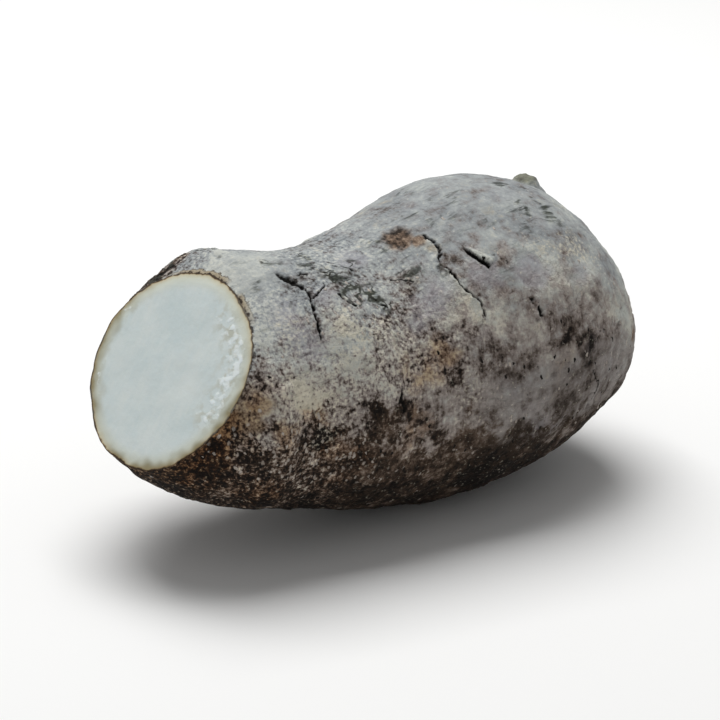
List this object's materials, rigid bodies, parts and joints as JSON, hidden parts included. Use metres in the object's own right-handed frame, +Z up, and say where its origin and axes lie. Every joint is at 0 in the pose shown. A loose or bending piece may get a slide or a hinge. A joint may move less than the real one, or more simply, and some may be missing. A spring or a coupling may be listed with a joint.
{
  "type": "malanga",
  "caption": "Malanga tuber with dusty grey-brown skin, cut across at the neck to show its pale flesh, lying on its belly.",
  "frame": {"origin": "on the surface that the tuber lies on, under the middle of its bounding box", "axes": "+Z up from that surface, +X along the tuber from the cut neck to the grown end"},
  "size_m": [0.1458, 0.0772, 0.0772],
  "materials": {
    "skin": "dry, dusty corky skin; the cut end is moist white flesh"
  },
  "bodies": {
    "root": {"tuber": "skin"}
  },
  "joints": []
}
